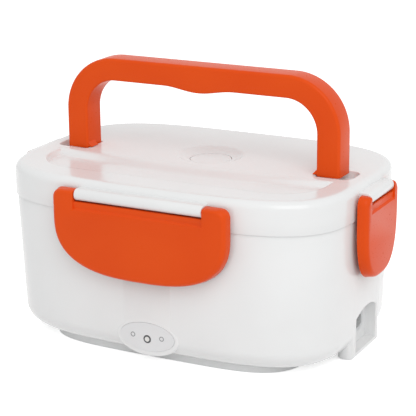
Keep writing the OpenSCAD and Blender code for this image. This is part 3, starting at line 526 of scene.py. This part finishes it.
def dish_parts():
    """A shallow dish: z rises with the square of the distance from the cap's hole, over a round lip."""
    r = np.linspace(CAP_HOLE_R, DISH_R - BOWL_END, 9)
    bowl = np.column_stack([r, DISH_FLOOR + DISH_DEPTH * ((r - CAP_HOLE_R) / (DISH_R - CAP_HOLE_R)) ** 2])
    lip = [(DISH_R + beyond, LID_TOP - below) for beyond, below in DISH_LIP]
    bore = [(AXIS_R, STEM_LOW), (STEM_R, STEM_LOW), (STEM_R, SEAT_Z),
            (CAP_HOLE_R, SEAT_Z), (CAP_HOLE_R, HOLE_TOP)]
    points = turned(bore + bowl.tolist() + lip, 0, DISH_Y)
    return [grid(points)], points[-1][:, :2]


# %% Pockets of the handle
LEG_X = 85.2
POCKET_INNER, POCKET_OUTER, POCKET_FRONT, POCKET_REAR = 7.8, 14.8, 10.4, 9.6  # from the leg's middle
FAR_R, NEAR_R, LEAST_R = 6.0, 1.2, 0.2
POCKET_ROWS = [(1.6, 0), (0.5, 0), (0.22, 0.08), (0.06, 0.25), (0, 0.55),
               (0, 4.2), (-0.15, 4.65), (-0.45, 4.92), (-0.8, 5.0)]  # outside the edge, below the top


def pocket_loop(grow, side):
    """A rectangle with large round corners at its outboard end and small ones at its inboard end."""
    x0, x1 = LEG_X - POCKET_INNER - grow, LEG_X + POCKET_OUTER + grow
    y0, y1 = HANDLE_Y - POCKET_FRONT - grow, HANDLE_Y + POCKET_REAR + grow
    far, near = FAR_R + grow, max(NEAR_R + grow, LEAST_R)
    return np.concatenate([
        arc(x1 - far, y0 + far, far, -90, 0, 10),
        arc(x1 - far, y1 - far, far, 0, 90, 10),
        arc(x0 + near, y1 - near, near, 90, 180, 6),
        arc(x0 + near, y0 + near, near, 180, 270, 6),
    ]) * [side, 1]


def pocket_parts(side):
    """The pocket that one leg of the handle stands in: a straight wall with a soft lip and foot."""
    loops = [(pocket_loop(grow, side), LID_TOP - down) for grow, down in POCKET_ROWS]
    points = np.concatenate([level(loop, z) for loop, z in loops])
    floor_loop, floor_z = loops[-1]
    return [grid(points), flat_fill(floor_loop, [], floor_z)], loops[0][0]


# %% Bars that the clips turn on
BAR_R, BAR_OUT, BAR_ROOT, BAR_LOW, BAR_END_R = 3.5, 4.0, 1.2, 2.5, 0.6
BAR_HALF = [17.8, 41.5]  # half lengths on the ends and on the long sides


def bar_outline(sign):
    """outline(inset) of a half round nose in front of a square root."""
    def outline(inset):
        nose = arc(BAR_OUT, HINGE_Z, BAR_R - inset, 90, -90, 17)
        root = [(-BAR_ROOT, HINGE_Z - BAR_LOW + inset), (-BAR_ROOT, HINGE_Z + BAR_R - inset)]
        return np.concatenate([nose, root]) * [sign, 1]
    return outline


def hinge_bar(side):
    """The bar along one side of the lid, with rounded ends."""
    axis, sign = SIDES[side]
    outline = bar_outline(sign)
    rows = edge_rows(-BAR_HALF[axis], BAR_HALF[axis], BAR_END_R)
    shift = np.zeros(3)
    shift[axis] = sign * (LID_A, LID_B)[axis]
    if axis == 1:
        parts = prism(outline, rows, "x")
    else:
        parts = prism(lambda inset: outline(inset)[:, ::-1], rows, "y")
    return [(points + shift, faces) for points, faces in parts]


# %% The lid in one piece
EDGE_R, LID_FOOT, INNER_Z, SKIRT_MIDDLE = 5.0, 88.6, 97.0, 96.0
INNER_EDGE = [(0.0, 0.5), (0.15, 0.13), (0.5, 0.0)]  # outside the inner wall, above the foot
TOP_BAND = 1.5

lid_rows = np.concatenate([
    [(LID_WALL, INNER_Z)],
    [(LID_WALL - out, LID_FOOT + rise) for out, rise in INNER_EDGE],
    [(inset, LID_FOOT + rise) for inset, rise in SEAM_EDGE],
    [(0.0, SKIRT_MIDDLE)],
    quarter(EDGE_R, LID_TOP - EDGE_R, EDGE_R, 0, 90, 12),
    [(EDGE_R + TOP_BAND, LID_TOP)],
])
lid_skin = rings(lid_rows, LID_A, LID_B, even_angles(LID_A, LID_B, RING_POINTS))
hollows = [trough_parts(), dish_parts(), pocket_parts(1), pocket_parts(-1)]
lid_parts = [grid(lid_skin), cap(lid_skin[0])]
lid_parts.append(flat_fill(lid_skin[-1], [band for _, band in hollows], LID_TOP))
lid_parts += [part for parts, _ in hollows for part in parts]
lid_parts += [part for side in SIDES for part in hinge_bar(side)]
place(piece("lid_skin", lid_parts), "lid", "shell_white", "lid_shell")

# %% [markdown]
# ## The base
#
# The base is one closed wall that tapers towards the foot, with a 13 mm round along its bottom. The
# lamp's collar and the inlet's housing are pushed-out solids that are united with it, and the inlet
# pocket and the lamp's seat are then cut out, because their edges cross the curved wall.

# %% Base shell
KNEE_Z = FOOT_H + BOTTOM_R
OPENING = 33.0
RIM = [(5.0, 0.0), (5.0, 1.5), (2.55, 4.0)]  # inside the base's edge, below the seam

base_rows = np.concatenate([
    [(OPENING, FOOT_H)],
    quarter(DRAFT + BOTTOM_R, KNEE_Z, BOTTOM_R, -90, 0, 16),
    [(inset, SEAM_Z - drop) for inset, drop in SEAM_EDGE[::-1] + RIM],
    quarter(DRAFT + BOTTOM_R, KNEE_Z, BOTTOM_R - SHELL_WALL, 0, -90, 8),
    [(OPENING, FOOT_H + SHELL_WALL)],
])
base_t = even_angles(BASE_A, BASE_B, RING_POINTS)
shell = piece("base_skin", [grid(rings(base_rows, BASE_A, BASE_B, base_t), wrap_rows=True)])

# %% Inlet housing
HOUSING_ROOT, HOUSING_FACE, HOUSING_FRONT, HOUSING_REAR = 97.1, 106.7, -18.0, 27.0
HOUSING_R, HOUSING_LOW, HOUSING_HIGH, HOUSING_EDGE_R = 3.5, 0.5, 30.4, 0.8

housing = piece("housing", prism(
    rounded_box(HOUSING_ROOT, HOUSING_FACE, HOUSING_FRONT, HOUSING_REAR, HOUSING_R, 8),
    edge_rows(HOUSING_LOW, HOUSING_HIGH, HOUSING_EDGE_R), "z"))

# %% Lamp collar, and the seat of the panel in it
PANEL_Z, PANEL_SEAT, SEAT_HALF = 16.9, 72.1, (8.87, 18.12)
BOSS_FACE, BOSS_ROOT, BOSS_DROP, BOSS_HALF, BOSS_EDGE_R = 73.1, 65.1, 0.6, (11.35, 20.6), 1.0
SEAT_OUT = 80.0

collar = piece("collar", prism(
    oval(*BOSS_HALF, PANEL_Z - BOSS_DROP, 0, 2.0, 128), edge_rows(-BOSS_FACE, -BOSS_ROOT, BOSS_EDGE_R, 6), "y"))
panel_seat = piece("panel_seat", prism(
    oval(*SEAT_HALF, PANEL_Z, 0, 2.0, 96), [(0, -PANEL_SEAT), (0, -SEAT_OUT)], "y"))
cut(shell, housing, collar, operation="UNION")

# %% Inlet pocket and the socket's hole
INLET_Y, INLET_HALF, POCKET_BACK = 5.0, 16.0, 99.7
ARCH_FOOT, ARCH_RISE, POCKET_LOW = 24.0, 4.0, 2.4
MOUTH = 0.5
SOCKET_Z, SOCKET_HALF, SOCKET_POWER, SOCKET_SPAN = 15.5, (11.62, 6.37), 3.4, (85.0, 101.0)


def pocket_outline(inset):
    """Straight sides under a low arch, in (y, z). The arch's radius is (half^2 + rise^2) / (2 rise)."""
    half, low = INLET_HALF - inset, POCKET_LOW + inset
    radius = (half ** 2 + ARCH_RISE ** 2) / (2 * ARCH_RISE)
    reach = math.asin(half / radius)
    t = np.linspace(reach, -reach, 25)
    top = ARCH_FOOT + ARCH_RISE - inset
    arch = np.column_stack([INLET_Y + radius * np.sin(t), top - radius * (1 - np.cos(t))])
    return np.concatenate([arch, [(INLET_Y - half, low), (INLET_Y + half, low)]])


# The mouth is wider than the pocket, which leaves a fine chamfer round it.
pocket_rows = [(0, POCKET_BACK), (0, HOUSING_FACE - MOUTH), (-MOUTH, HOUSING_FACE), (-MOUTH, BEYOND)]
pocket = piece("pocket", prism(pocket_outline, pocket_rows, "x"))
socket_hole = piece("socket_hole", prism(
    oval(*SOCKET_HALF, INLET_Y, SOCKET_Z, SOCKET_POWER, 60), [(0, x) for x in SOCKET_SPAN], "x"))
cut(shell, pocket, socket_hole, panel_seat)

# %% Ledges behind the clips' hooks, and the whole base
LEDGE_TOP, LEDGE_H, LEDGE_OUT, LEDGE_ROOT, LEDGE_R = 79.0, 3.7, 1.3, 3.0, 0.5
LEDGE_HALF = [17, 36]  # half lengths on the ends and on the long sides


def ledge(side):
    """A bar with rounded edges, across the base's wall below the lid."""
    axis, sign = SIDES[side]
    edge = (LID_A, LID_B)[axis]
    near, far = sorted((sign * (edge - LEDGE_ROOT), sign * (edge + LEDGE_OUT)))
    rows = edge_rows(-LEDGE_HALF[axis], LEDGE_HALF[axis], LEDGE_R)
    if axis == 1:
        return prism(rounded_box(near, far, LEDGE_TOP - LEDGE_H, LEDGE_TOP, LEDGE_R), rows, "x")
    return prism(rounded_box(LEDGE_TOP - LEDGE_H, LEDGE_TOP, near, far, LEDGE_R), rows, "y")


ledges = piece("ledges", [part for side in SIDES for part in ledge(side)])
place(join("base_wall", [shell, ledges]), "base", "shell_white", "body_shell")

# %% [markdown]
# ## The handle
#
# The handle is one rounded rectangle carried along a path: up a leg, round a bend, along the grip and
# down again. The section's inner side moves away from its outer side where the finger bump is.

# %% Handle path
HANDLE_HALF, BEND_R, LEG_W, GRIP_T, LEG_LOW = 92.5, 34.0, 14.6, 13.8, 107.5
BUMP_HALF, BUMP_H = 24.0, 2.7


def handle_path():
    """Outer and inner points (x, z) of the right half: a straight leg, a quarter turn in which the
    inner radius grows from 19.4 to 20.2 mm, and half of the grip with a cosine-squared bump. Then the
    same in the mirror."""
    bend_x, bend_z, inner_bend = HANDLE_HALF - BEND_R, HANDLE_TOP - BEND_R, BEND_R - LEG_W
    z = np.linspace(LEG_LOW, bend_z, 8)
    leg = [np.column_stack([np.full(len(z), x), z]) for x in (HANDLE_HALF, HANDLE_HALF - LEG_W)]
    t = np.radians(np.linspace(0, 90, 31)[1:])
    inner_r = inner_bend - (GRIP_T - LEG_W) * (1 - np.cos(t))
    bend = [np.column_stack([bend_x + r * np.cos(t), bend_z + r * np.sin(t)]) for r in (BEND_R, inner_r)]
    x = np.concatenate([np.linspace(bend_x, BUMP_HALF, 8)[1:-1], np.linspace(BUMP_HALF, 0, 17)])
    bump = np.where(np.abs(x) < BUMP_HALF, BUMP_H * np.cos(np.pi / 2 * x / BUMP_HALF) ** 2, 0)
    top = np.full(len(x), HANDLE_TOP)
    grip = [np.column_stack([x, top]), np.column_stack([x, HANDLE_TOP - GRIP_T - bump])]
    half = np.concatenate([np.stack(pair, axis=1) for pair in (leg, bend, grip)])
    return np.concatenate([half, half[::-1][1:] * [-1, 1]])


# %% Handle section
HANDLE_D, OUTER_R, INNER_R = 17.0, 2.0, 1.2
SECTION_CORNERS = [  # share of the thickness, side in y, radius, first angle
    (0, -1, OUTER_R, 180), (1, -1, INNER_R, 270), (1, 1, INNER_R, 0), (0, 1, OUTER_R, 90),
]


def handle_section(steps=7):
    """Corners of the section as quarter circles: (share of the thickness, offset along it, y)."""
    rows = []
    for share, sign, r, start in SECTION_CORNERS:
        corner = arc(r if share == 0 else -r, sign * (HANDLE_D / 2 - r), r, start, start + 90, steps)
        rows.append(np.column_stack([np.full(steps, share), corner]))
    return np.concatenate(rows)


path, section = handle_path(), handle_section()
outer, inner = path[:, None, 0], path[:, None, 1]
thickness = np.linalg.norm(inner - outer, axis=-1, keepdims=True)
direction = (inner - outer) / thickness
plan = outer + direction * (section[None, :, 0, None] * thickness + section[None, :, 1, None])
handle_points = lift(plan, HANDLE_Y + section[:, 2])[..., [0, 2, 1]]
handle = piece("handle_skin", [grid(handle_points), cap(handle_points[0]), cap(handle_points[-1])])

# %% Slots and toes of the legs
PIVOT_Z = 117.0
SLOT_HALF, SLOT_FRONT, SLOT_REAR, SLOT_UP, SLOT_R, SLOT_LOW = 2.95, 5.5, 12.0, 5.5, 0.3, 100.0
TOE = [(108.4, -2.7), (108.4, 0.5), (112.0, 0.5), (111.2, 0.0)]  # height, distance inside the leg
TOE_SPAN = (HANDLE_Y - 8.0, HANDLE_Y - 0.5)


def leg_slot(side):
    """Room for the lid's lug: open below and behind, closed in front."""
    x0, x1 = sorted((side * (LEG_X - SLOT_HALF), side * (LEG_X + SLOT_HALF)))
    outline = rounded_box(x0, x1, HANDLE_Y - SLOT_FRONT, HANDLE_Y + SLOT_REAR, SLOT_R)
    return piece(f"slot{side}", prism(outline, [(0, SLOT_LOW), (0, PIVOT_Z + SLOT_UP)], "z"))


def toe(side):
    """The small wedge at the inner foot of a leg."""
    x = LEG_X - LEG_W / 2
    corners = np.array([(z, x + into) for z, into in TOE]) * [1, side]
    return prism(lambda inset: corners[::side], [(0, y) for y in TOE_SPAN], "y")


cut(handle, leg_slot(1), leg_slot(-1))
toes = piece("toes", toe(1) + toe(-1))
place(join("carry_handle", [handle, toes]), "handle", "orange_plastic", "handle")

# %% [markdown]
# ## The clips
#
# A clip is a half-moon cap: its outline is straight down to the bend and then a superellipse. It is
# drafted towards its face, whose edge is rounded over. Booleans hollow its back and cut the notch
# that leaves two ears, and a narrow bevel softens the new edges.

# %% Clip outline
BEND_LINE, CLIP_POWER, CLIP_DEPTH, CLIP_BACK, CLIP_WALL = 88.0, 2.7, 7.9, 1.6, 2.4
EAR_R, TOP_DRAFT = 5.0, 0.5
PLATE = CLIP_DEPTH - CLIP_WALL  # inner side of the face's plate


def clip_outline(half, low, top_z):
    """outline(inset) in (x, z): ears with round corners above, and below the bend
    x = w cos^(2/p), z = bend - depth sin^(2/p)."""
    def outline(inset):
        w, top, depth = half - inset, top_z - inset * TOP_DRAFT, BEND_LINE - low - inset
        q = np.radians(np.linspace(90, 0, 8))
        right_ear = np.column_stack([w - EAR_R * (1 - np.cos(q)), top - EAR_R * (1 - np.sin(q))])
        t = even_angles(w, depth, 192, CLIP_POWER)
        moon = superellipse(w, -depth, t[t < np.pi], CLIP_POWER) + [0, BEND_LINE]
        return np.concatenate([right_ear, moon, right_ear[::-1] * [-1, 1]])
    return outline


# %% Solids in a clip's own frame
def on_side(points, side):
    """Parts of a closed solid, from a clip's own frame (x along the side, y outwards from the lid, z up)
    to its place on the box."""
    x, y, z = np.moveaxis(points, -1, 0)
    axis, sign = SIDES[side]
    if axis == 1:
        placed = np.stack([sign * x, sign * (LID_B + y), z], axis=-1)
    else:
        placed = np.stack([sign * (LID_A + y), -sign * x, z], axis=-1)
    return [grid(placed), cap(placed[0]), cap(placed[-1])]


def clip_solid(name, side, outline, rows):
    """outline(inset) in (x, z) carried outwards through rows (inset, y), put on its side of the box."""
    return piece(name, on_side(carry(outline, rows, [0, 2, 1]), side))


def clip_box(name, side, half, y0, y1, low, fall=0.0):
    """A box in the clip's frame, open above; its floor may fall by so much from y0 to y1."""
    def corners(drop):
        return np.array([(-half, low + drop), (half, low + drop), (half, BEYOND), (-half, BEYOND)])
    return clip_solid(name, side, corners, [(0, y0), (-fall, y1)])


# %% Clip body
RIM_R, RIM_INSET = 3.0, 0.6
HOLLOW = [(0.0, CLIP_BACK - 1), (0.4, PLATE - 0.6), (1.0, PLATE)]  # further in than the wall, place y
HOLLOW_TOP, NOTCH_LOW, STEP_Z = HINGE_Z - 8.0, HINGE_Z - 4.1, LID_TOP - 14.5
STEP_IN, STEP_OUT, STEP_FALL = 1.2, 0.4, 1.6
SOFT_EDGE = 0.35
KEEP_WIDER, KEEP_DEEPER = 5.0, 3.0  # how far the cutting boxes reach past what they cut
NOTCH_BEHIND, NOTCH_AHEAD = 1.0, 2.0


def clip_body(side, half, gap, low, top_z):
    """Moulded cap with a hollow back, a notch as wide as the gap and a shallow step under the bar."""
    outline = clip_outline(half, low, top_z)
    rim = [(RIM_INSET + RIM_R * (1 - np.cos(a)), CLIP_DEPTH - RIM_R + RIM_R * np.sin(a))
           for a in np.radians(np.linspace(0, 90, 8))]
    body = clip_solid(f"clip_{side}_skin", side, outline, [(0, CLIP_BACK)] + rim)
    hollow = clip_solid("hollow", side, outline, [(CLIP_WALL + more, y) for more, y in HOLLOW])
    cut(hollow, clip_box("keep", side, half + KEEP_WIDER, CLIP_BACK - KEEP_DEEPER, PLATE + KEEP_DEEPER, HOLLOW_TOP))
    notch = clip_box("notch", side, gap, -NOTCH_BEHIND, CLIP_DEPTH + NOTCH_AHEAD, NOTCH_LOW)
    step = clip_box("step", side, gap, CLIP_DEPTH - STEP_IN, CLIP_DEPTH + STEP_OUT, STEP_Z, STEP_FALL)
    cut(body, hollow, notch, step)
    soften(body, SOFT_EDGE)
    return body


# %% Hook and pins
HOOK = [(CLIP_BACK, 75.0), (CLIP_BACK, 73.5), (PLATE + 0.3, 70.0), (PLATE + 0.3, 75.0)]  # y, z
HOOK_MARGIN = 3.0
PIN_R, PIN_IN, PIN_OUT = 1.9, 6.0, 1.0


def clip_hook(side, gap):
    """The hook on the clip's inner face, a wedge that ends just outside the base's ledge."""
    ends = [(0, HOOK_MARGIN - gap), (0, gap - HOOK_MARGIN)]
    return piece(f"hook_{side}", on_side(carry(lambda inset: np.array(HOOK), ends, AXES["x"]), side))


def clip_pins(side, gap):
    """The two stub pins that sit in the bar's bores."""
    t = full_turn(24)
    circle = np.column_stack([BAR_OUT + PIN_R * np.cos(t), HINGE_Z + PIN_R * np.sin(t)])
    parts = []
    for sign in (-1, 1):
        ends = [(0, sign * (gap - PIN_IN)), (0, sign * (gap + PIN_OUT))]
        parts += on_side(carry(lambda inset: circle, ends, AXES["x"]), side)
    return piece(f"pins_{side}", parts)


# %% The four clips
CLIPS = {  # half width, width of an ear, lowest point, top
    "front": (57.0, 15.0, 52.5, 103.7), "rear": (57.0, 15.0, 52.5, 103.7),
    "left": (25.5, 7.2, 50.0, 102.6), "right": (25.5, 7.2, 50.0, 103.2),
}
for side, (half, ear, low, top_z) in CLIPS.items():
    gap = half - ear
    solids = [clip_body(side, half, gap, low, top_z), clip_hook(side, gap), clip_pins(side, gap)]
    place(join(f"{side}_clip", solids), f"clip_{side}", "orange_plastic", f"clip_{side}")

# %% [markdown]
# ## The lamp panel
#
# The panel is an oval of printed film. Its lens sits in a dark ring, with a small mark on each side.
# The marks are plain shapes that only say that something is printed there.

# %% Marks on the panel
MARK_LOW, MARK_HIGH = 73.25, 73.38  # the panel's face is at 73.3
MARKS = [  # name, x, z, outer radius, inner radius, ink
    ("lamp_ring", 0.0, 15.6, 2.5, 1.55, dark_ink),
    ("left_mark", -9.6, 17.2, 1.5, 1.05, pale_ink),
    ("right_mark", 9.6, 17.2, 1.5, 1.05, pale_ink),
]


def flat_ring(name, x, z, outer_r, inner_r, count=48):
    """A thin ring on the panel's face."""
    t = full_turn(count)
    rows = [(inner_r, MARK_LOW), (inner_r, MARK_HIGH), (outer_r, MARK_HIGH), (outer_r, MARK_LOW)]
    points = [np.column_stack([x + r * np.cos(t), np.full(count, -y), z + r * np.sin(t)]) for r, y in rows]
    return piece(name, [grid(np.stack(points), wrap_rows=True)])


for name, x, z, outer_r, inner_r, ink in MARKS:
    place(flat_ring(name, x, z, outer_r, inner_r), "base", "panel_grey", material=ink)

# %% [markdown]
# ## Light and floor
#
# The picture has a white room. The world and the floor show plain white to the camera, but light the
# box at a plain level, so that a colour renders about as it is written. One large soft lamp in front
# on the right, half way up, makes the faces that lean back, such as the lid's round edge and the
# trough's ramp, a little brighter than the level and upright ones.

# %% World
LIGHT_LEVEL = 0.7


def larger(tree, first, second):
    """The larger of two values, which joins two kinds of ray into one answer."""
    return add(tree, "ShaderNodeMath", {0: first, 1: second}, operation="MAXIMUM").outputs[0]


world = bpy.data.worlds.new("white_room")
scene.world = world
tree = empty_tree(world)
ray = add(tree, "ShaderNodeLightPath").outputs
seen = larger(tree, larger(tree, ray["Is Camera Ray"], ray["Is Glossy Ray"]), ray["Is Transmission Ray"])
strength = add(tree, "ShaderNodeMapRange", {"Value": seen, "To Min": LIGHT_LEVEL, "To Max": 1.0})
background = add(tree, "ShaderNodeBackground", {
    "Color": linear("#FFFFFF"), "Strength": strength.outputs["Result"]})
add(tree, "ShaderNodeOutputWorld", {"Surface": background.outputs["Background"]})

# %% Lamp
KEY_PLACE, KEY_AIM = Vector((0.8, -0.89, 1.2)), Vector((0, 0, 0.06))
KEY_SIZE_M, KEY_WATTS = 1.2, 9.5

key_data = bpy.data.lights.new("key_softbox", "AREA")
key_data.size, key_data.energy = KEY_SIZE_M, KEY_WATTS
key = bpy.data.objects.new("key_softbox", key_data)
scene.collection.objects.link(key)
key.location = KEY_PLACE
key.rotation_euler = (KEY_AIM - KEY_PLACE).to_track_quat("-Z", "Y").to_euler()

# %% Floor
FLOOR_GLOW = 0.62
FLOOR_HALF_M = 6.0

floor_material = bpy.data.materials.new("white_paper_floor")
tree = empty_tree(floor_material)
ray = add(tree, "ShaderNodeLightPath").outputs
paper = add(tree, "ShaderNodeBsdfDiffuse", {"Color": linear("#EEEEEE")})
glow = add(tree, "ShaderNodeEmission", {"Color": linear("#FFFFFF"), "Strength": FLOOR_GLOW})
both = add(tree, "ShaderNodeAddShader", {0: paper.outputs[0], 1: glow.outputs[0]})
seen = larger(tree, ray["Is Camera Ray"], ray["Is Glossy Ray"])
mixed = add(tree, "ShaderNodeMixShader", {0: seen, 1: paper.outputs[0], 2: both.outputs[0]})
add(tree, "ShaderNodeOutputMaterial", {"Surface": mixed.outputs[0]})

floor_mesh = bpy.data.meshes.new("floor")
floor_corners = [(x * FLOOR_HALF_M, y * FLOOR_HALF_M, 0) for x, y in ((-1, -1), (1, -1), (1, 1), (-1, 1))]
floor_mesh.from_pydata(floor_corners, [], [(0, 1, 2, 3)])
floor_mesh.materials.append(floor_material)
floor = bpy.data.objects.new("floor", floor_mesh)
scene.collection.objects.link(floor)
